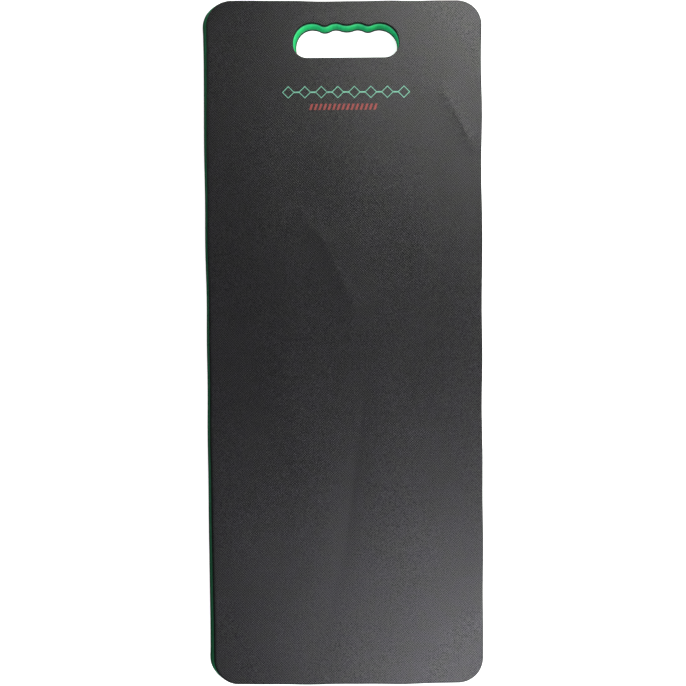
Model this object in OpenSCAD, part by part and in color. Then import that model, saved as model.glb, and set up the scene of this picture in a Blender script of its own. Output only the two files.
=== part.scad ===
// Kneeling pad: a thick foam core between thin foam skins, bonded by adhesive films and cut
// through as one block, with a scalloped hand slot near one end.
// The pad lies flat: X across the width, Y along the length towards the hand slot, Z up.
// The origin is the middle of the face that rests on the ground.

/* [Pad] */
// Width of the pad
pad_w = 300; // [260:10:400]
// Length of the pad
pad_l = 750; // [500:10:1000]
// Radius of the corners, seen from above
corner_r = 27; // [15:1:60]

/* [Layers] */
// Thickness of the whole pad
pad_t = 30; // [20:1:50]
// Thickness of each foam skin
skin_t = 4; // [1.5:0.5:5]
// Thickness of each adhesive film between a skin and the core
bond_t = 0.3; // [0.1:0.1:0.5]

/* [Hand slot] */
// Width of the slot
slot_w = 116; // [110:0.5:125]
// Height of the slot, from its flat edge to the top of the finger scallops
slot_h = 37.5; // [37.5:0.5:45]
// Distance from the end of the pad to the top of the finger scallops
slot_inset = 24.5; // [20:0.5:40]
// Offset of the slot and the print from the middle of the pad, towards +X
centre_shift = 2.2; // [-5:0.1:5]
// Radius of the rounded ends, which are also the outermost scallops
end_r = 21; // [19:0.1:21.3]
// Radius of the inner scallops
finger_r = 15.6; // [14:0.1:18]
// Distance between the centres of the inner scallops
finger_pitch = 24; // [22:0.5:26]
// Offset of the inner scallops from the middle of the slot, towards +X
finger_shift = 1.2; // [-2:0.1:2]
// Radius of the rounded foam between an inner scallop and an outer one
tip_r = 9; // [6:0.5:12]
// Radius of the rounded foam between the two inner scallops
mid_tip_r = 18; // [9:1:24]
// Radius of the corners on the flat edge
heel_r = 16; // [10:0.5:16]

/* [Print] */
// Depth that the ink films are pressed into the top skin
ink_t = 0.15; // [0.1:0.05:0.3]
// Distance from the end of the pad to the middle of the green frieze
frieze_inset = 99.5; // [90:0.5:120]
// Number of diamonds in the green frieze
frieze_count = 8; // [5:1:9]
// Width and height of one diamond
diamond = 13.5; // [9:0.5:14]
// Gap between diamonds, which a short line crosses
diamond_gap = 4.5; // [2:0.5:6]
// Width of a printed line
line_w = 1.5; // [0.8:0.1:1.6]
// Distance between the middles of the frieze and the red bars
bars_drop = 16; // [13:0.5:20]
// Offset of the red bars from the middle of the frieze, towards +X
bars_shift = -3; // [-8:0.5:8]
// Number of red bars
bars_count = 15; // [7:2:19]
// Distance from one red bar to the next
bars_pitch = 5; // [4:0.5:6]
// Height of a red bar
bar_h = 6.6; // [4:0.2:8]
// Width of a red bar
bar_w = 2.4; // [1.5:0.1:3]
// Sideways lean of a red bar over its height
bar_lean = 2.2; // [0:0.2:4]

/* [Hidden] */
$fn = 96;

core_t = pad_t - 2 * (skin_t + bond_t);
lower_bond_z = skin_t;
core_z = skin_t + bond_t;
upper_bond_z = pad_t - skin_t - bond_t;
top_skin_z = pad_t - skin_t;
ink_z = pad_t - ink_t;

// Overlap of two circles that blend into each other, so that their edges cross cleanly
cross = 0.02;

// Places in the slot's own plan, where y = 0 is the top of the scallops and x = 0 the slot's middle
slot_y = pad_l / 2 - slot_inset;
end_c = [slot_w / 2 - end_r, -end_r];
heel_c = [slot_w / 2 - heel_r, heel_r - slot_h];

frieze_y = pad_l / 2 - frieze_inset;
frieze_pitch = diamond + diamond_gap;
bars_y = frieze_y - bars_drop;

skin_colour = "#2f2f32";
core_colour = "#2fc070";
bond_colour = "#bfe6cd";
green_ink = "#4fc79a";
red_ink = "#c8452f";

// The upper meeting point of two circles: centre a and radius ra, centre b and radius rb
function meet(a, ra, b, rb) =
    let (
        d = norm(b - a),
        along = (d * d + ra * ra - rb * rb) / (2 * d),
        up = sqrt(ra * ra - along * along),
        u = (b - a) / d
    )
    a + along * u + up * [-u[1], u[0]];

// A disc of radius r about the point c
module disc(c, r) {
    translate(c) circle(r = r);
}

// A rectangle between the corners lo and hi
module between(lo, hi) {
    translate(lo) square(hi - lo);
}

// Centre of the inner scallop on one side, where side is 1 towards +X and -1 towards -X
function finger_c(side) = [side * finger_pitch / 2 + finger_shift, -finger_r];

// The space under the foam tip, of radius r, that separates two neighbouring scallops
module under_tip(a, ra, b, rb, r) {
    reach = r - cross;
    tip = meet(a, ra + reach, b, rb + reach);
    difference() {
        polygon([a, b, tip]);
        disc(tip, r);
    }
}

// Half of the hand slot: scallops above, a rounded heel below. It is drawn towards +X, and its
// inner scallop is centred on finger.
module half_slot(finger) {
    disc(finger, finger_r);
    intersection() {
        disc(end_c, end_r);
        between([0, end_c[1]], [slot_w, end_r]);
    }
    intersection() {
        disc(heel_c, heel_r);
        between([0, -slot_w], [slot_w, heel_c[1]]);
    }
    between([0, heel_c[1]], [slot_w / 2, end_c[1]]);
    between([0, -slot_h], heel_c);
    polygon([[0, finger[1]], finger, end_c, [0, end_c[1]]]);
    under_tip(finger, finger_r, end_c, end_r, tip_r);
}

// The whole hand slot, seen from above
module slot_plan() {
    translate([centre_shift, slot_y]) {
        half_slot(finger_c(1));
        mirror([1, 0]) half_slot([-finger_c(-1)[0], finger_c(-1)[1]]);
        under_tip(finger_c(-1), finger_r, finger_c(1), finger_r, mid_tip_r);
    }
}

// The pad's outline with the hand slot cut out
module pad_plan() {
    x = pad_w / 2;
    y = pad_l / 2;
    difference() {
        union() {
            between([-x + corner_r, -y], [x - corner_r, y]);
            between([-x, -y + corner_r], [x, y - corner_r]);
            for (sx = [-1, 1], sy = [-1, 1])
                disc([sx * (x - corner_r), sy * (y - corner_r)], corner_r);
        }
        slot_plan();
    }
}

// One layer of the laminate, t thick, with its underside at z
module layer(z, t) {
    translate([0, 0, z]) linear_extrude(t) pad_plan();
}

// A square frame standing on its corner, size wide and line_w thick
module diamond_frame(size) {
    inner = size / 2 - line_w * sqrt(2) / 2;
    difference() {
        polygon([[size / 2, 0], [0, size / 2], [-size / 2, 0], [0, -size / 2]]);
        polygon([[inner, 0], [0, inner], [-inner, 0], [0, -inner]]);
    }
}

// A chain of diamonds joined by short lines
module frieze_plan() {
    first = -(frieze_count - 1) / 2;
    link = diamond_gap + line_w;
    translate([centre_shift, frieze_y]) {
        for (i = [0 : frieze_count - 1])
            translate([(first + i) * frieze_pitch, 0]) diamond_frame(diamond);
        for (i = [0 : frieze_count - 2])
            translate([(first + i + 0.5) * frieze_pitch, 0])
                square([link, line_w], center = true);
    }
}

// A row of leaning bars
module bars_plan() {
    first = -(bars_count - 1) / 2;
    foot = centre_shift + bars_shift - bar_lean / 2;
    for (i = [0 : bars_count - 1])
        translate([foot + (first + i) * bars_pitch, bars_y - bar_h / 2])
            polygon([[-bar_w / 2, 0], [bar_w / 2, 0],
                     [bar_w / 2 + bar_lean, bar_h], [-bar_w / 2 + bar_lean, bar_h]]);
}

module bottom_skin() {
    color(skin_colour) layer(0, skin_t);
}

module bottom_bond_film() {
    color(bond_colour) layer(lower_bond_z, bond_t);
}

module foam_core() {
    color(core_colour) layer(core_z, core_t);
}

module top_bond_film() {
    color(bond_colour) layer(upper_bond_z, bond_t);
}

// The skin's upper face has shallow seats that the ink films fill flush
module top_skin() {
    color(skin_colour) difference() {
        layer(top_skin_z, skin_t);
        translate([0, 0, ink_z]) linear_extrude(ink_t + 1) {
            frieze_plan();
            bars_plan();
        }
    }
}

module print_green() {
    color(green_ink) translate([0, 0, ink_z]) linear_extrude(ink_t) frieze_plan();
}

module print_red() {
    color(red_ink) translate([0, 0, ink_z]) linear_extrude(ink_t) bars_plan();
}

bottom_skin();
bottom_bond_film();
foam_core();
top_bond_film();
top_skin();
print_green();
print_red();
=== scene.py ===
"""Looks for the kneeling pad: a green foam core between two charcoal foam skins, cut out in one
stroke, with a scalloped hand slot. Every length is in metres, in the frame of the CAD model: X across
the pad, Y along it towards the hand slot, Z up, with the ground at z = 0."""

import math

import bmesh
import bpy
import numpy as np
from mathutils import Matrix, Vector
from mathutils.geometry import delaunay_2d_cdt


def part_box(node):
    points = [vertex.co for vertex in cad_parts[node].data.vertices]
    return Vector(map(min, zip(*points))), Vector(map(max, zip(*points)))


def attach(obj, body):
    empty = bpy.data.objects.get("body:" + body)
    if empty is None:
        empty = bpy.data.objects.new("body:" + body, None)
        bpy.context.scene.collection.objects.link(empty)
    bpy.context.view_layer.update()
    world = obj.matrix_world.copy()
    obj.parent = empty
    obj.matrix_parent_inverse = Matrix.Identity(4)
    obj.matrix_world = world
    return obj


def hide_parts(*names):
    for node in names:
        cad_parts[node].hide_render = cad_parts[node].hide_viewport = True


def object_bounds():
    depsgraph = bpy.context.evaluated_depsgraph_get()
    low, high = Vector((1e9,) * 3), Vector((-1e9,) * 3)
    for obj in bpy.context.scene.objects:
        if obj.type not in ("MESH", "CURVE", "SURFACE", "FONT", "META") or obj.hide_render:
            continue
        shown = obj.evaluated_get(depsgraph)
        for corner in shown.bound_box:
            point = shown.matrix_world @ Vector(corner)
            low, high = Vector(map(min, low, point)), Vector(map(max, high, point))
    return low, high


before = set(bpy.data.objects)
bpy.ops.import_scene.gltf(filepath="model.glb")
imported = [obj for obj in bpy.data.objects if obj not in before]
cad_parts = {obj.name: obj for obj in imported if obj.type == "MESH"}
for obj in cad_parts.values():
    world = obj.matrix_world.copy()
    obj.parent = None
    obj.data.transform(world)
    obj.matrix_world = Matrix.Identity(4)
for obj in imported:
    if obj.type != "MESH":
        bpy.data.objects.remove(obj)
cad_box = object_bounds()

MM = 0.001

# The hand slot's plan, as in the CAD model. Its own y = 0 is the top of the scallops.
CORNER_R = 27 * MM
CENTRE_SHIFT = 2.2 * MM
SLOT_INSET = 24.5 * MM
SLOT_W = 116 * MM
SLOT_H = 37.5 * MM
END_R = 21 * MM
FINGER_R = 15.6 * MM
FINGER_PITCH = 24 * MM
FINGER_SHIFT = 1.2 * MM
TIP_R = 9 * MM
MID_TIP_R = 18 * MM
HEEL_R = 16 * MM

# The printed ornament
FRIEZE_INSET = 99.5 * MM
FRIEZE_COUNT = 8
DIAMOND = 13.5 * MM
DIAMOND_GAP = 4.5 * MM
LINE_W = 1.5 * MM
BARS_DROP = 16 * MM
BARS_SHIFT = -3 * MM
BARS_COUNT = 15
BARS_PITCH = 5 * MM
BAR_H = 6.6 * MM
BAR_W = 2.4 * MM
BAR_LEAN = 2.2 * MM
INK_PROUD = 0.06 * MM
INK_DEEP = 0.12 * MM

# Spacing of points along the outlines, over the faces that show and over the ones that don't, and the
# number of rows up the core's wall
OUTLINE_STEP = 2 * MM
CORE_STEP = 1.25 * MM
SLOT_STEP = 1 * MM
ARC_STEP = 0.25 * MM
FACE_STEP = 4.5 * MM
HIDDEN_STEP = 20 * MM
CORE_ROWS = 15
# How far inside the cut line the flat caps begin
CAP_INSET = 3 * MM

# The woven emboss of the skins
EMBOSS_PITCH = 2.68 * MM

# Colours, as linear red, green, blue and 1
SKIN_FACE = (0.0080, 0.0078, 0.0090, 1)
# Dark green of the painted shade on the skins' cut walls
SKIN_CUT_PAINTED_SHADE = (0.0040, 0.0130, 0.0085, 1)
SKIN_SCUFF = (0.06, 0.06, 0.065, 1)
SKIN_SHINE_WARM = (0.955, 0.970, 0.890, 1)
SKIN_SHINE_COOL = (0.985, 0.970, 0.990, 1)
CORE_GREEN = (0.026, 0.660, 0.225, 1)
# Pale green of the painted highlight on the core, beside each skin
CORE_PAINTED_HIGHLIGHT = (0.14, 0.62, 0.36, 1)
# Dark green of the painted shade on the core, right beside each skin
CORE_PAINTED_SHADE = (0.010, 0.100, 0.055, 1)
BOND_DARK = (0.006, 0.035, 0.020, 1)
BOND_PALE = (0.010, 0.070, 0.038, 1)
INK_HOLLOW = (0.03, 0.035, 0.035, 1)
INK_GREEN = (0.215, 0.61, 0.41, 1)
INK_RED = (0.36, 0.058, 0.045, 1)
FLOOR_DARK = (0.78, 0.78, 0.78, 1)
FLOOR_PALE = (0.82, 0.82, 0.82, 1)

# The studio: power in watts, the sky's light, and the floor's glow, bounce and reach of the contact
# shadow
NEAR_POWER = 23.1
NEAR_COLOUR = (0.930, 0.917, 1.0)
FAR_POWER = 11.1
RIGHT_POWER = 16.0
SOFT_BOX = (0.7, 0.7)
SHEEN_POWER = 22.0
SHEEN_PANEL = (4.5, 1.3)
SLOT_LAMP_POWER = 0.35
SLOT_LAMP = (0.05, 0.05)
SLOT_LAMP_ASIDE = 0.092
SLOT_LAMP_UP = 0.165
SLOT_LAMP_COOL = (0.85, 0.9, 1.0)
SLOT_LAMP_WARM = (1.0, 0.8, 0.45)
SKY_LIGHT = 0.03
FLOOR_GLOW = 0.78
FLOOR_BOUNCE = 0.12
CONTACT_REACH = 60 * MM

# The camera: its lens and sensor in millimetres, its place, and its turn in degrees
LENS = 57.87
SENSOR = 36
CAMERA_PLACE = (-0.0012, 0.0356, 1.238)
CAMERA_TURN = (-1.59, 0.07, -0.36)

LOW, HIGH = cad_box
PAD_T = HIGH.z - LOW.z
SLOT_Y = HIGH.y - SLOT_INSET


# ---------------------------------------------------------------- outlines

def arc(centre, radius, start, end):
    """Points on an arc from one angle to another, in radians, without the last one."""
    count = max(2, round(abs(end - start) * radius / ARC_STEP))
    turn = np.linspace(start, end, count, endpoint=False)
    return np.column_stack([centre[0] + radius * np.cos(turn), centre[1] + radius * np.sin(turn)])


def direction(a, b):
    """The angle of the line from a to b."""
    return math.atan2(b[1] - a[1], b[0] - a[0])


def meet(a, ra, b, rb):
    """The upper meeting point of two circles."""
    across = b - a
    d = np.hypot(*across)
    along = (d * d + ra * ra - rb * rb) / (2 * d)
    up = math.sqrt(ra * ra - along * along)
    u = across / d
    return a + along * u + up * np.array([-u[1], u[0]])


def pad_points():
    """The pad's outline, anticlockwise from its near right corner."""
    quarter = math.pi / 2
    left, right = LOW.x + CORNER_R, HIGH.x - CORNER_R
    near, far = LOW.y + CORNER_R, HIGH.y - CORNER_R
    corners = [(right, near), (right, far), (left, far), (left, near)]
    parts = [arc(c, CORNER_R, (i - 1) * quarter, i * quarter) for i, c in enumerate(corners)]
    return np.vstack(parts)


def slot_points():
    """The hand slot's outline, anticlockwise from the right end of its flat edge."""
    end = np.array([SLOT_W / 2 - END_R, -END_R])
    fingers = [np.array([side * FINGER_PITCH / 2 + FINGER_SHIFT, -FINGER_R]) for side in (1, -1)]
    heel = np.array([SLOT_W / 2 - HEEL_R, HEEL_R - SLOT_H])
    flip = np.array([-1, 1])
    circles = [(end, END_R)] + [(finger, FINGER_R) for finger in fingers] + [(end * flip, END_R)]
    parts = [arc(heel, HEEL_R, -math.pi / 2, 0)]
    start = 0.0
    for (a, ra), (b, rb), r in zip(circles, circles[1:], (TIP_R, MID_TIP_R, TIP_R)):
        tip = meet(b, rb + r, a, ra + r)
        parts.append(arc(a, ra, start, direction(a, tip)))
        parts.append(arc(tip, r, direction(tip, a), direction(tip, b)))
        start = direction(b, tip)
    parts.append(arc(end * flip, END_R, start, math.pi))
    parts.append(arc(heel * flip, HEEL_R, math.pi, 1.5 * math.pi))
    return np.vstack(parts) + [CENTRE_SHIFT, SLOT_Y]


class Loop:
    """A closed outline with even spacing: its points, the way out of the foam at each, and the
    distance travelled to each."""

    def __init__(self, points, step, hole):
        ring = np.vstack([points, points[:1]])
        travelled = np.concatenate([[0], np.cumsum(np.hypot(*np.diff(ring, axis=0).T))])
        length = travelled[-1]
        count = round(length / step)
        self.travel = np.arange(count) * length / count
        self.points = np.column_stack([np.interp(self.travel, travelled, ring[:, k]) for k in (0, 1)])
        along = np.roll(self.points, -1, axis=0) - np.roll(self.points, 1, axis=0)
        along /= np.hypot(*along.T)[:, None]
        side = -1 if hole else 1
        self.out = np.column_stack([along[:, 1], -along[:, 0]]) * side
        self.hole = hole


def loops(step):
    """The pad's outline, with points this far apart, and the hand slot's."""
    return [Loop(pad_points(), step, False), Loop(slot_points(), SLOT_STEP, True)]


# ---------------------------------------------------------------- the pad's soft shape

def waves(x, y, seed, shortest, longest, count=9):
    """A smooth random field of about unit size: crossing waves between two lengths."""
    rng = np.random.default_rng(seed)
    total = np.zeros_like(x)
    for _ in range(count):
        heading = rng.uniform(0, math.pi)
        length = rng.uniform(shortest, longest)
        phase = rng.uniform(0, 2 * math.pi)
        total += np.sin(2 * math.pi * (x * math.cos(heading) + y * math.sin(heading)) / length + phase)
    return total / math.sqrt(count / 2)


class Crease:
    """A soft crease that runs lengthways over the kneeling face. places is a list of (y, x, turn),
    where turn is how far the slope turns there, in radians: over zero for a ridge and under zero for
    a valley. reach is how far its slopes run out to the left and to the right."""

    OFFSETS = np.array([-9, -6, -4, -2.5, -1.2, 0, 1.2, 2.5, 4, 6, 9]) * MM
    SOFT = 1.6 * MM
    ROW_STEP = 3 * MM

    def __init__(self, places, reach):
        self.ys, self.xs, self.turns = np.array(sorted(places)).T
        self.reach = reach

    def off(self, x, y):
        """How far each point is to the right of the crease."""
        return x - np.interp(y, self.ys, self.xs)

    def height(self, x, y):
        """The crease's own height: 0 far away, and highest or lowest along its line."""
        off = self.off(x, y)
        away = np.sqrt(off * off + self.SOFT ** 2) - self.SOFT
        left, right = self.reach
        deep = np.interp(y, self.ys, self.turns) / (1 / left + 1 / right)
        run = np.where(off < 0, left, right)
        return deep * np.exp(-away / run)

    def rows(self):
        """Places for extra mesh points, in rows beside the crease."""
        y = np.arange(self.ys[0], self.ys[-1], self.ROW_STEP)
        x = np.interp(y, self.ys, self.xs)
        return np.vstack([np.column_stack([x + off, y]) for off in self.OFFSETS])

    def near(self, x, y):
        """Which of the points are among those rows."""
        along = (y > self.ys[0] - self.ROW_STEP) & (y < self.ys[-1] + self.ROW_STEP)
        return along & (np.abs(self.off(x, y)) < self.OFFSETS[-1] + FACE_STEP / 2)


CREASES = [
    Crease([(0.155, -0.055, 0.0), (0.115, -0.024, 0.06), (0.050, 0.006, 0.07), (0.015, 0.016, 0.0)],
           (32 * MM, 40 * MM)),
    Crease([(0.010, 0.024, 0.0), (-0.030, 0.024, -0.025), (-0.118, 0.012, -0.045),
            (-0.222, -0.002, -0.040), (-0.288, -0.018, -0.028), (-0.352, -0.033, -0.018),
            (-0.372, -0.038, 0.0)], (21 * MM, 12 * MM)),
    Crease([(0.290, 0.104, 0.0), (0.270, 0.113, 0.09), (0.225, 0.135, 0.09), (0.205, 0.143, 0.0)],
           (10 * MM, 12 * MM)),
    Crease([(0.225, 0.086, 0.0), (0.180, 0.101, -0.02), (0.100, 0.108, -0.03), (0.030, 0.100, -0.02),
            (-0.010, 0.092, 0.0)], (24 * MM, 16 * MM)),
]
# Height of the waves over the whole pad
WAVE_HIGH = 0.12 * MM
WAVE_SEED = 11
# How much lower the face is at its corners than in its middle
CORNER_DROP = 1.8 * MM


def lift(x, y, z):
    """The height of a point after the foam's own unevenness, which grows from the ground up."""
    uneven = WAVE_HIGH * waves(x, y, WAVE_SEED, 0.07, 0.24) + sum(c.height(x, y) for c in CREASES)
    uneven -= CORNER_DROP * (x / HIGH.x) ** 2 * (y / HIGH.y) ** 4
    return z + uneven * z / PAD_T


# The hand slot's share of the small offsets from the cut line, which is crisp there
SLOT_CRISP = 0.3
# How far the green core's wall bulges, all round and in the hand slot, from a line this far inside
# the cut line, how far it is rounded off beside the skins, and how deep its upright streaks are
BULGE = 0.8 * MM
SLOT_BULGE = 0.4 * MM
CORE_SET_BACK = 0.3 * MM
CORE_ROUNDING = 0.6 * MM
STREAK_DEPTH = 0.05 * MM
STREAK_SEED = 37
# How far inside the cut line a bond film ends, at its middle and at its edges
BOND_MIDDLE = 0.35 * MM
BOND_EDGE = 0.45 * MM
# How far the pad's left side slants out towards its foot, and how much more it does so at the near
# end, at the far end and at the two corners
SLANT = 6.6 * MM
SLANT_NEAR = 1.9 * MM
SLANT_FAR = 1.7 * MM
SLANT_CORNER = 2.0 * MM
# How far the hand slot's wall leans in towards its foot, at its left end, right end and scallops
LEAN_LEFT = 3.2 * MM
LEAN_RIGHT = 1.0 * MM
LEAN_TOP = 1.5 * MM
# How uneven the cut line is
EDGE_WAVE = 0.25 * MM
EDGE_SEED = 23
# How far the pad's two ends bow towards -Y in their middle, how far its far end is askew, and how
# far its left side draws in towards the near end and the far end
BOW = 0.7 * MM
SKEW = 0.8 * MM
TAPER_NEAR = 3.3 * MM
TAPER_FAR = 1.0 * MM


def wander(loop, z):
    """How far out of the plain outline the cut line runs at height z: its small unevenness, the
    pad's slightly uneven plan, the slant of its left side, and the lean of the slot's wall."""
    x, y = loop.points.T
    way = EDGE_WAVE * waves(x, y, EDGE_SEED, 0.05, 0.16)
    across, along = loop.out.T
    if loop.hole:
        way *= SLOT_CRISP
        lean = LEAN_LEFT * np.clip(across, 0, 1) ** 2 + LEAN_RIGHT * np.clip(-across, 0, 1) ** 2
        lean += LEAN_TOP * np.clip(-along, 0, 1) ** 2
    else:
        left = np.clip(-across, 0, 1)
        near = ((HIGH.y - y) / (HIGH.y - LOW.y)) ** 2
        far = np.clip(y / HIGH.y, 0, 1) ** 2
        way -= along * BOW * (1 - (x / HIGH.x) ** 2) + np.clip(along, 0, 1) * SKEW * x / HIGH.x
        way -= left * (TAPER_NEAR * near + TAPER_FAR * far)
        lean = left * (2 - left) * (SLANT + SLANT_NEAR * near + SLANT_FAR * far)
        lean += 2 * left ** 2 * abs(along) * SLANT_CORNER
    return way + lean * (1 - z / PAD_T)


def bulge(loop, t):
    """How far the core's wall stands out at height t, from 0 at its foot to 1 at its top."""
    barrel = 1 - abs(2 * t - 1) ** 3
    return (SLOT_BULGE if loop.hole else BULGE) * barrel


def die_streaks(loop):
    """The fine upright ridges that the cutting die leaves on a foam wall."""
    return STREAK_DEPTH * waves(loop.travel, 0 * loop.travel, STREAK_SEED, 2.5 * MM, 9 * MM, 14)


# ---------------------------------------------------------------- mesh building

def put(name, data):
    """A new object in the scene."""
    obj = bpy.data.objects.new(name, data)
    bpy.context.scene.collection.objects.link(obj)
    return obj


def put_mesh(name, bm):
    """A new object made of a finished bmesh."""
    mesh = bpy.data.meshes.new(name)
    bm.to_mesh(mesh)
    bm.free()
    return put(name, mesh)


def heights(node):
    """The lowest and highest z of a CAD node."""
    return [corner.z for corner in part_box(node)]


def cap_faces(rings, starts, spacing, creases):
    """Points and triangles that fill the space between the rings of one level: (new points, faces).
    A face's numbers count the rings' own vertices first, from starts, and then the new points."""
    edges, coords, numbers = [], [], []
    for ring, start in zip(rings, starts):
        first = len(coords)
        count = len(ring)
        coords += [Vector(p) for p in ring]
        numbers += range(start, start + count)
        edges += [(first + i, first + (i + 1) % count) for i in range(count)]
    xs = np.arange(LOW.x, HIGH.x, spacing) + spacing / 2
    ys = np.arange(LOW.y, HIGH.y, spacing) + spacing / 2
    gx, gy = [g.ravel() for g in np.meshgrid(xs, ys)]
    for crease in creases:
        apart = ~crease.near(gx, gy)
        gx, gy = [np.concatenate([g[apart], row]) for g, row in zip((gx, gy), crease.rows().T)]
    clear = np.full(len(gx), np.inf)
    for ring in rings:
        for p in ring[::2]:
            clear = np.minimum(clear, np.hypot(gx - p[0], gy - p[1]))
    inside = (clear > 0.6 * spacing) & in_ring(gx, gy, rings[0]) & ~in_ring(gx, gy, rings[1])
    fresh = np.column_stack([gx, gy])[inside]
    coords += [Vector(p) for p in fresh]
    numbers += [-1 - i for i in range(len(fresh))]
    points, _, faces, sources, _, _ = delaunay_2d_cdt(coords, edges, [], 0, 1e-7)
    middles = np.array([[sum(points[v][k] for v in face) / 3 for k in (0, 1)] for face in faces])
    kept = in_ring(*middles.T, rings[0]) & ~in_ring(*middles.T, rings[1])
    return fresh, [[numbers[sources[v][0]] for v in face] for face, keep in zip(faces, kept) if keep]


def in_ring(x, y, ring):
    """Which of the points are inside a closed ring."""
    inside = np.zeros(len(x), bool)
    for (ax, ay), (bx, by) in zip(ring, np.roll(ring, -1, axis=0)):
        if ay == by:
            continue
        crosses = (ay > y) != (by > y)
        inside ^= crosses & (x < (bx - ax) * (y - ay) / (by - ay) + ax)
    return inside


def slab(name, outlines, levels, spacing_low, spacing_high):
    """A closed layer of the pad. levels is a list of (offset, z) from the middle of the lower face,
    out over the wall and back to the middle of the upper face; offset(loop) gives how far out of the
    cut line each of the loop's points stands."""
    verts, starts = [], []
    for offset, z in levels:
        row = []
        for loop in outlines:
            row.append(sum(len(v) for v in verts))
            flat = loop.points + loop.out * (offset(loop) + wander(loop, z))[:, None]
            verts.append(np.column_stack([flat, np.full(len(flat), z)]))
        starts.append(row)
    rows = [verts[i:i + 2] for i in range(0, len(verts), 2)]
    faces = []
    for below, above in zip(starts, starts[1:]):
        for a, b, loop in zip(below, above, outlines):
            n = len(loop.points)
            faces += [(a + i, a + (i + 1) % n, b + (i + 1) % n, b + i) for i in range(n)]
    wall_count = sum(len(v) for v in verts)
    total = wall_count
    for row, start, z, spacing in ((rows[0], starts[0], levels[0][1], spacing_low),
                                   (rows[-1], starts[-1], levels[-1][1], spacing_high)):
        creases = CREASES if spacing == FACE_STEP else []
        fresh, cap = cap_faces([r[:, :2] for r in row], start, spacing, creases)
        faces += [[v if v >= 0 else total - 1 - v for v in face] for face in cap]
        verts.append(np.column_stack([fresh, np.full(len(fresh), z)]))
        total += len(fresh)
    co = np.vstack(verts)
    co[:, 2] = lift(*co.T)
    travel = np.concatenate([loop.travel for _ in levels for loop in outlines])
    return finish_mesh(name, co, faces, np.concatenate([travel, np.zeros(total - wall_count)]))


def finish_mesh(name, co, faces, travel):
    """The object made of these points and faces, smooth-shaded, with its walls' travel kept for the
    materials."""
    mesh = bpy.data.meshes.new(name)
    mesh.from_pydata(co.tolist(), [], [list(map(int, f)) for f in faces])
    bm = bmesh.new()
    bm.from_mesh(mesh)
    bmesh.ops.recalc_face_normals(bm, faces=bm.faces)
    triangles = [f for f in bm.faces if len(f.verts) == 3]
    bmesh.ops.join_triangles(bm, faces=triangles, angle_face_threshold=0.3, angle_shape_threshold=0.6)
    bm.to_mesh(mesh)
    bm.free()
    mesh.attributes.new("travel", "FLOAT", "POINT").data.foreach_set("value", travel.astype(np.float32))
    mesh.polygons.foreach_set("use_smooth", [True] * len(mesh.polygons))
    return put(name, mesh)


def even(distance):
    """An offset that is the same all round, but smaller at the hand slot, where the cut is crisp."""
    return lambda loop: np.full(len(loop.points), distance * (SLOT_CRISP if loop.hole else 1.0))


# The section of a skin near its edge: how far out of the cut line in millimetres, and how far down
# from the skin's outer face as a share of its thickness
SKIN_EDGE = [(-3.0, 0), (-1.6, 0.003), (-1.0, 0.02), (-0.7, 0.05), (-0.45, 0.10), (-0.25, 0.17),
             (-0.1, 0.27), (-0.02, 0.4), (0, 0.6), (-0.05, 0.85), (-0.2, 0.95), (-0.5, 1), (-3.0, 1)]


def skin(name, node, top):
    """A foam skin, with its outer edge rolled over by the cut."""
    low, high = heights(node)
    levels = []
    for across, down in SKIN_EDGE:
        down *= high - low
        z = high - down if top else low + down
        levels.append((even(across * MM), z))
    if top:
        levels.reverse()
    spacings = (HIDDEN_STEP, FACE_STEP) if top else (FACE_STEP, HIDDEN_STEP)
    return slab(name, loops(OUTLINE_STEP), levels, *spacings)


def bond_film(name, node):
    """The thin line that holds a skin to the core, set back a little from the cut."""
    low, high = heights(node)
    middle = (low + high) / 2
    levels = [(even(-CAP_INSET), low), (even(-BOND_EDGE), low), (even(-BOND_MIDDLE), middle),
              (even(-BOND_EDGE), high), (even(-CAP_INSET), high)]
    return slab(name, loops(OUTLINE_STEP), levels, HIDDEN_STEP, HIDDEN_STEP)


def core(name, node):
    """The thick green core, with a barrelled wall that carries the die's upright streaks."""
    low, high = heights(node)

    def wall(t):
        """The core's offset at height t. The streaks fade out at its foot and its top."""
        streak = 1 - abs(2 * t - 1) ** 6
        return lambda loop: bulge(loop, t) + die_streaks(loop) * streak - CORE_SET_BACK

    levels = [(even(-CAP_INSET), low), (even(-CORE_ROUNDING), low)]
    for i in range(CORE_ROWS):
        t = 0.5 - 0.5 * math.cos(math.pi * (i + 0.5) / CORE_ROWS)
        levels.append((wall(t), low + t * (high - low)))
    levels += [(even(-CORE_ROUNDING), high), (even(-CAP_INSET), high)]
    return slab(name, loops(CORE_STEP), levels, HIDDEN_STEP, HIDDEN_STEP)


# ---------------------------------------------------------------- printed ornament

def ribbon(bm, left, right, closed):
    """A thin printed band between two rows of points, with a top, a foot and sides."""
    rows = []
    for points, z in ((left, PAD_T + INK_PROUD), (right, PAD_T + INK_PROUD),
                      (right, PAD_T - INK_DEEP), (left, PAD_T - INK_DEEP)):
        x, y = np.array(points).T
        heights = lift(x, y, np.full(len(x), z))
        rows.append([bm.verts.new(p) for p in zip(x, y, heights)])
    count = len(left)
    for i in range(count if closed else count - 1):
        j = (i + 1) % count
        for a, b in zip(rows, rows[1:] + rows[:1]):
            bm.faces.new((a[i], a[j], b[j], b[i]))
    if not closed:
        bm.faces.new([row[0] for row in rows])
        bm.faces.new([row[-1] for row in reversed(rows)])


def printed(name, draw):
    """A piece of ink drawn by draw(bm)."""
    bm = bmesh.new()
    draw(bm)
    bmesh.ops.recalc_face_normals(bm, faces=bm.faces)
    return put_mesh(name, bm)


def stretch(a, b, count):
    """Points from a to b, with both ends."""
    return [np.array(a) + (np.array(b) - np.array(a)) * i / count for i in range(count + 1)]


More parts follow.
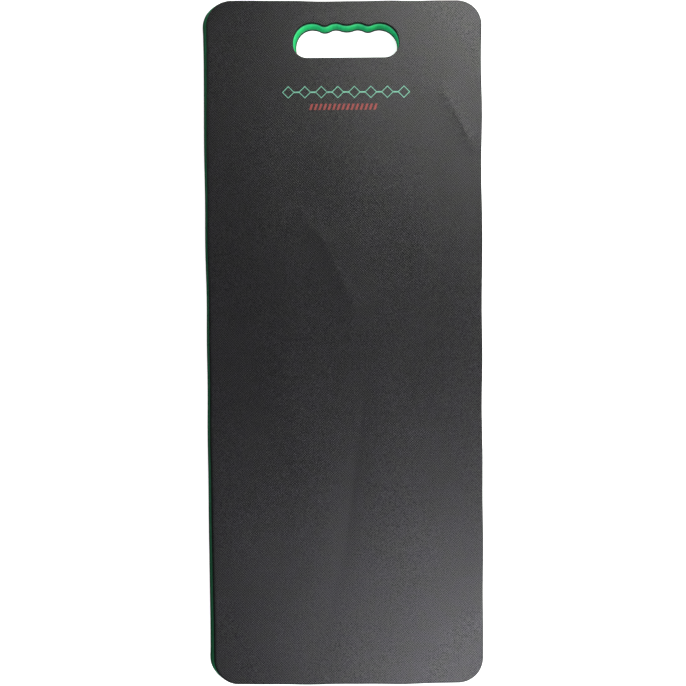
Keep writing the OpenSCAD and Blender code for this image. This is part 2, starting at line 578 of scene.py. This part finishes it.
def draw_frieze(bm):
    """A chain of diamonds joined by short lines."""
    outer = DIAMOND / 2
    inner = outer - LINE_W * math.sqrt(2) / 2
    pitch = DIAMOND + DIAMOND_GAP
    y = HIGH.y - FRIEZE_INSET
    way = [(1, 0), (0, 1), (-1, 0), (0, -1), (1, 0)]
    for i in range(FRIEZE_COUNT):
        centre = np.array([CENTRE_SHIFT + (i - (FRIEZE_COUNT - 1) / 2) * pitch, y])
        rows = []
        for size in (outer, inner):
            row = []
            for a, b in zip(way, way[1:]):
                row += stretch(centre + np.array(a) * size, centre + np.array(b) * size, 8)[:-1]
            rows.append(row)
        ribbon(bm, rows[0], rows[1], True)
    for i in range(FRIEZE_COUNT - 1):
        middle = CENTRE_SHIFT + (i + 1 - FRIEZE_COUNT / 2) * pitch
        ends = [middle - DIAMOND_GAP / 2 - LINE_W / 2, middle + DIAMOND_GAP / 2 + LINE_W / 2]
        above, below = [stretch((ends[0], y + s), (ends[1], y + s), 4) for s in (LINE_W / 2, -LINE_W / 2)]
        ribbon(bm, above, below, False)


def draw_bars(bm):
    """A row of leaning bars."""
    y = HIGH.y - FRIEZE_INSET - BARS_DROP
    middle = CENTRE_SHIFT + BARS_SHIFT
    for i in range(BARS_COUNT):
        foot = middle + (i - (BARS_COUNT - 1) / 2) * BARS_PITCH - BAR_LEAN / 2
        sides = [stretch((foot + s, y - BAR_H / 2), (foot + s + BAR_LEAN, y + BAR_H / 2), 5)
                 for s in (-BAR_W / 2, BAR_W / 2)]
        ribbon(bm, sides[0], sides[1], False)


# ---------------------------------------------------------------- materials

class Shader:
    """A material's node tree, with short calls for the nodes used here. Its place is in millimetres."""

    def __init__(self, name):
        self.material = bpy.data.materials.new(name)
        self.material.use_nodes = True
        self.tree = self.material.node_tree
        self.tree.nodes.clear()
        place = {0: self.node("ShaderNodeTexCoord").outputs["Object"], 1: (1 / MM,) * 3}
        self.place = self.node("ShaderNodeVectorMath", place, operation="MULTIPLY").outputs[0]

    def node(self, kind, inputs=None, **settings):
        """A new node. An input is a number, a colour or another node's output."""
        made = self.tree.nodes.new(kind)
        for key, value in settings.items():
            setattr(made, key, value)
        for key, value in (inputs or {}).items():
            if isinstance(value, bpy.types.NodeSocket):
                self.tree.links.new(value, made.inputs[key])
            else:
                made.inputs[key].default_value = value
        return made

    def math(self, operation, a, b=0.0):
        """a and b joined by one sum."""
        return self.node("ShaderNodeMath", {0: a, 1: b}, operation=operation).outputs[0]

    def noise(self, size_mm, detail, where=None):
        """Noise from 0 to 1 with features of about this size."""
        inputs = {"Vector": where or self.place, "Scale": 1 / size_mm, "Detail": detail}
        return self.node("ShaderNodeTexNoise", inputs).outputs["Fac"]

    def spread(self, value, low, high, to_low=0.0, to_high=1.0):
        """value moved from one range to another, smoothly and without overshoot."""
        inputs = {"Value": value, "From Min": low, "From Max": high, "To Min": to_low, "To Max": to_high}
        return self.node("ShaderNodeMapRange", inputs, interpolation_type="SMOOTHSTEP").outputs[0]

    def blend(self, share, a, b, mode="MIX"):
        """Two colours mixed."""
        inputs = {"Factor": share, 6: a, 7: b}
        return self.node("ShaderNodeMix", inputs, data_type="RGBA", blend_type=mode).outputs[2]

    def scale(self, colour, by):
        """A colour made lighter or darker."""
        grey = self.node("ShaderNodeCombineColor", {0: by, 1: by, 2: by}).outputs[0]
        return self.blend(1.0, colour, grey, "MULTIPLY")

    def bump(self, height, depth, normal=None, strength=1.0):
        """A bumped normal; height 1 stands depth metres out."""
        inputs = {"Height": height, "Distance": depth, "Strength": strength}
        if normal:
            inputs["Normal"] = normal
        return self.node("ShaderNodeBump", inputs).outputs[0]

    def emboss(self):
        """The skins' woven emboss from -1 to 1: rows of dots set like a chequerboard."""
        x, y, _ = self.node("ShaderNodeSeparateXYZ", {0: self.place}).outputs
        turn = 2 * math.pi * MM / EMBOSS_PITCH
        wave_x = self.math("SINE", self.math("MULTIPLY", x, turn))
        wave_y = self.math("SINE", self.math("MULTIPLY", y, turn))
        return self.math("MULTIPLY", wave_x, wave_y)

    def facing_up(self):
        """1 on the faces, 0 on the cut walls."""
        normal = self.node("ShaderNodeNewGeometry").outputs["Normal"]
        z = self.node("ShaderNodeSeparateXYZ", {0: normal}).outputs[2]
        return self.spread(self.math("ABSOLUTE", z), 0.55, 0.9)

    def seen_from_above(self):
        """1 where the surface is seen from straight above, 0 where it is seen from the side."""
        way = self.node("ShaderNodeNewGeometry").outputs["Incoming"]
        return self.node("ShaderNodeSeparateXYZ", {0: way}).outputs[2]

    def done(self, colour, roughness, normal, more=None):
        """Ends the tree with one surface and gives the material. more holds any further inputs."""
        inputs = {"Base Color": colour, "Roughness": roughness, "Normal": normal, **(more or {})}
        surface = self.node("ShaderNodeBsdfPrincipled", inputs)
        self.node("ShaderNodeOutputMaterial", {0: surface.outputs[0]})
        return self.material


def skin_material():
    """Charcoal foam sheet: woven emboss with lighter dots, soft mottling in tone and in the tint of
    the shine, and scuffs on the rim. It shines less when seen from the side, so that it stays dark."""
    s = Shader("charcoal_foam_skin")
    face = s.facing_up()
    grain = s.noise(0.9, 3)
    dots = s.math("MULTIPLY", s.emboss(), s.spread(s.noise(5, 3), 0.3, 0.7, 0.6, 1.3))
    dots = s.math("MULTIPLY", dots, face)
    weave = s.math("ADD", s.math("MULTIPLY", dots, 0.6), s.spread(grain, 0.3, 0.7, -0.45, 0.45))
    shade = s.math("ADD", 1.0, s.math("MULTIPLY", weave, 0.25))
    shade = s.math("MULTIPLY", shade, s.spread(s.noise(38, 4), 0.3, 0.7, 0.92, 1.08))
    colour = s.scale(SKIN_FACE, shade)
    wall = s.math("SUBTRACT", 1.0, face)
    # Painted shade: the skins' cut walls take a dark green colour.
    colour = s.blend(wall, colour, SKIN_CUT_PAINTED_SHADE)
    scuffed = s.math("MULTIPLY", s.spread(s.noise(9, 3), 0.58, 0.75), wall)
    colour = s.blend(s.math("MULTIPLY", scuffed, 0.12), colour, SKIN_SCUFF)
    shine = s.math("ADD", 0.53, s.math("MULTIPLY", weave, 0.64))
    shine = s.math("SUBTRACT", shine, s.math("MULTIPLY", wall, 0.35))
    above = s.seen_from_above()
    shine = s.math("MULTIPLY", shine, s.spread(above, 0.2, 0.8, 0.22, 1.0))
    roughness = s.spread(s.noise(14, 3), 0.3, 0.7, 0.37, 0.39)
    roughness = s.math("ADD", roughness, s.spread(above, 0.2, 0.8, 0.16, 0))
    roughness = s.math("ADD", roughness, s.math("MULTIPLY", wall, 0.3))
    normal = s.bump(grain, 0.045 * MM)
    normal = s.bump(dots, 0.045 * MM, normal)
    tint = s.blend(s.spread(s.noise(12, 3), 0.35, 0.65), SKIN_SHINE_WARM, SKIN_SHINE_COOL)
    return s.done(colour, roughness, normal, {"Specular IOR Level": shine, "Specular Tint": tint})


def core_material():
    """Green closed-cell foam: fine cut cells, and the upright streaks of the die. Painted shade darkens
    it towards its foot, and beside each skin it has a pale band of painted highlight and a dark band
    of painted shade."""
    s = Shader("green_foam_core")
    travel = s.node("ShaderNodeAttribute", attribute_name="travel").outputs["Fac"]
    _, _, z = s.node("ShaderNodeSeparateXYZ", {0: s.place}).outputs
    along = s.math("MULTIPLY", travel, 1 / MM)
    wall = s.node("ShaderNodeCombineXYZ", {0: along, 1: s.math("MULTIPLY", z, 0.06)}).outputs[0]
    streaks = s.noise(1.3, 3, wall)
    cells = s.node("ShaderNodeTexVoronoi", {"Vector": s.place, "Scale": 1 / 0.7}).outputs["Distance"]
    shade = s.spread(streaks, 0.25, 0.75, 0.90, 1.08)
    shade = s.math("MULTIPLY", shade, s.spread(cells, 0.0, 0.8, 0.86, 1.1))
    shade = s.math("MULTIPLY", shade, s.spread(s.noise(16, 3), 0.3, 0.7, 0.93, 1.07))
    low, high = [z_end / MM for z_end in heights("foam_core")]
    # Painted shade: the core's colour darkens towards its foot.
    shade = s.math("MULTIPLY", shade, s.spread(z, low, high, 0.68, 1.04))
    colour = s.scale(CORE_GREEN, shade)
    # Painted highlight: a pale band a few millimetres inside each skin, for light caught by the core's
    # edge.
    painted_highlight = s.math("MAXIMUM", s.spread(z, high - 6, high - 3), s.spread(z, low + 4, low + 2))
    painted_highlight = s.math("MULTIPLY", painted_highlight, s.spread(streaks, 0.3, 0.6, 0.35, 0.6))
    colour = s.blend(painted_highlight, colour, CORE_PAINTED_HIGHLIGHT)
    # Painted shade: a dark band on the core right beside each skin, under the skin's edge.
    painted_shade_band = s.math("MAXIMUM", s.spread(z, high - 2.6, high - 1.2), s.spread(z, low + 1.2, low + 0.5))
    painted_shade_band = s.math("MULTIPLY", painted_shade_band, s.spread(streaks, 0.3, 0.6, 0.7, 0.9))
    colour = s.blend(painted_shade_band, colour, CORE_PAINTED_SHADE)
    normal = s.bump(cells, 0.12 * MM, None, 0.7)
    normal = s.bump(streaks, 0.12 * MM, normal, 0.6)
    roughness = s.spread(cells, 0.0, 0.8, 0.62, 0.8)
    more = {"Subsurface Weight": 0.1, "Subsurface Scale": 2 * MM, "Specular IOR Level": 0.25}
    return s.done(colour, roughness, normal, more)


def bond_material():
    """The dull line of adhesive between the foams."""
    s = Shader("bond_line")
    patch = s.noise(3, 3)
    colour = s.blend(s.spread(patch, 0.35, 0.65), BOND_DARK, BOND_PALE)
    return s.done(colour, s.spread(patch, 0.3, 0.7, 0.35, 0.6), s.bump(patch, 0.05 * MM))


def ink_material(name, ink):
    """Screen ink on embossed foam: thin in the hollows of the emboss, with a few pinholes."""
    s = Shader(name)
    dots = s.emboss()
    cover = s.math("ADD", s.spread(s.noise(1.1, 3), 0.3, 0.6, 0.55, 1.0), s.math("MULTIPLY", dots, 0.12))
    colour = s.blend(s.math("MINIMUM", cover, 1.0), INK_HOLLOW, ink)
    roughness = s.spread(s.noise(2, 2), 0.3, 0.7, 0.5, 0.65)
    return s.done(colour, roughness, s.bump(dots, 0.05 * MM))


def floor_material():
    """Matt pale studio floor. It glows for the camera alone, so that it stays near white without
    lighting the pad's shaded side. The glow is nearly even when seen from above. When seen from the
    side it is weaker, most of all close to the pad. The floor throws back less light than it shows."""
    s = Shader("pale_studio_floor")
    seen = s.node("ShaderNodeLightPath").outputs["Is Camera Ray"]
    soft = s.noise(260, 3)
    shown = s.blend(soft, FLOOR_DARK, FLOOR_PALE)
    colour = s.blend(seen, (FLOOR_BOUNCE,) * 3 + (1,), shown)
    roughness = s.spread(s.noise(40, 3), 0.3, 0.7, 0.75, 0.9)
    above = s.spread(s.seen_from_above(), 0.6, 0.95)
    # Painted contact shadow: ambient occlusion darkens the floor's glow close to the pad.
    shadow = s.node("ShaderNodeAmbientOcclusion", {"Distance": CONTACT_REACH}, samples=8)
    open_air = s.math("MAXIMUM", shadow.outputs["AO"], s.math("MULTIPLY", above, 0.93))
    glow = s.spread(above, 0, 1, FLOOR_GLOW, 1.0)
    glow = s.math("MULTIPLY", s.math("MULTIPLY", seen, glow), open_air)
    more = {"Emission Color": (1, 1, 1, 1), "Emission Strength": glow}
    return s.done(colour, roughness, s.bump(s.noise(4, 2), 0.02 * MM), more)


# ---------------------------------------------------------------- studio

def studio_floor():
    """A round pale floor."""
    radii = [0.5, 1, 2, 4, 8]
    spin = [2 * math.pi * i / 96 for i in range(96)]
    bm = bmesh.new()
    rows = [[bm.verts.new((r * math.cos(a), r * math.sin(a), 0)) for a in spin] for r in radii]
    bm.faces.new(rows[0])
    for inner, outer in zip(rows, rows[1:]):
        for i in range(len(spin)):
            bm.faces.new((inner[i - 1], outer[i - 1], outer[i], inner[i]))
    return put_mesh("studio_floor", bm)


def soft_box(name, place, target, size, power):
    """A square area light that faces target."""
    light = bpy.data.lights.new(name, "AREA")
    light.shape = "RECTANGLE"
    light.size, light.size_y = size
    light.energy = power
    obj = put(name, light)
    obj.location = place
    obj.rotation_euler = (Vector(target) - Vector(place)).to_track_quat("-Z", "Y").to_euler()
    obj.visible_camera = False
    return obj


def light_studio():
    """Soft boxes to the right, whose broad shine falls off towards the left, and a low panel behind
    that only shines on the skins at a flat angle."""
    middle = (0, 0, 0)
    near = soft_box("soft_box_near_right", (0.52, -1.13, 1.90), middle, SOFT_BOX, NEAR_POWER)
    near.data.color = NEAR_COLOUR
    soft_box("soft_box_far_right", (0.43, 0.74, 1.03), middle, SOFT_BOX, FAR_POWER)
    soft_box("soft_box_low_right", (1.40, -0.50, 0.70), middle, SOFT_BOX, RIGHT_POWER)
    sheen = soft_box("low_panel", (-1.8, 1.8, 0.7), (0, 0, 0.7), SHEEN_PANEL, SHEEN_POWER)
    sheen.visible_diffuse = False


def light_slot(core_piece):
    """Two small lamps above the hand slot, a cool one to the left and a warm one to the right. They
    light the green core alone."""
    lit = bpy.data.collections.new("lit_by_slot_lamps")
    lit.objects.link(core_piece)
    slot_middle = Vector((CENTRE_SHIFT, SLOT_Y - SLOT_H / 2, PAD_T / 2))
    for side, colour in ((-1, SLOT_LAMP_COOL), (1, SLOT_LAMP_WARM)):
        place = slot_middle + Vector((side * SLOT_LAMP_ASIDE, 0, SLOT_LAMP_UP))
        lamp = soft_box(f"slot_lamp_{side}", place, slot_middle, SLOT_LAMP, SLOT_LAMP_POWER)
        lamp.data.color = colour
        lamp.visible_glossy = False
        lamp.light_linking.receiver_collection = lit


def pale_sky():
    """A sky that looks pale but gives little light."""
    world = bpy.data.worlds.new("pale_sky")
    world.use_nodes = True
    nodes, links = world.node_tree.nodes, world.node_tree.links
    seen = nodes.new("ShaderNodeLightPath").outputs["Is Camera Ray"]
    strength = nodes.new("ShaderNodeMapRange")
    strength.inputs["To Min"].default_value = SKY_LIGHT
    strength.inputs["To Max"].default_value = FLOOR_GLOW
    links.new(seen, strength.inputs["Value"])
    links.new(strength.outputs[0], nodes["Background"].inputs["Strength"])
    nodes["Background"].inputs["Color"].default_value = (1, 1, 1, 1)
    bpy.context.scene.world = world


def place_camera():
    """The viewpoint: almost straight above the pad."""
    data = bpy.data.cameras.new("camera")
    data.sensor_width = SENSOR
    data.lens = LENS
    camera = put("camera", data)
    camera.location = CAMERA_PLACE
    camera.rotation_euler = [math.radians(a) for a in CAMERA_TURN]
    bpy.context.scene.camera = camera
    bpy.context.scene.view_settings.view_transform = "Standard"


# ---------------------------------------------------------------- the object

def add(piece, material, node):
    """Gives a piece its material and ties it to the CAD model."""
    piece.data.materials.append(material)
    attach(piece, "root")
    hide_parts(node)
    return piece


skin_look = skin_material()
bond_look = bond_material()
add(skin("upper_skin", "top_skin", True), skin_look, "top_skin")
add(bond_film("upper_bond_line", "top_bond_film"), bond_look, "top_bond_film")
green_core = add(core("green_core", "foam_core"), core_material(), "foam_core")
add(bond_film("lower_bond_line", "bottom_bond_film"), bond_look, "bottom_bond_film")
add(skin("lower_skin", "bottom_skin", False), skin_look, "bottom_skin")
green = ink_material("pale_green_ink", INK_GREEN)
red = ink_material("brick_red_ink", INK_RED)
add(printed("green_frieze", draw_frieze), green, "print_green")
add(printed("red_bars", draw_bars), red, "print_red")

floor = studio_floor()
floor.data.materials.append(floor_material())
light_studio()
light_slot(green_core)
pale_sky()
place_camera()
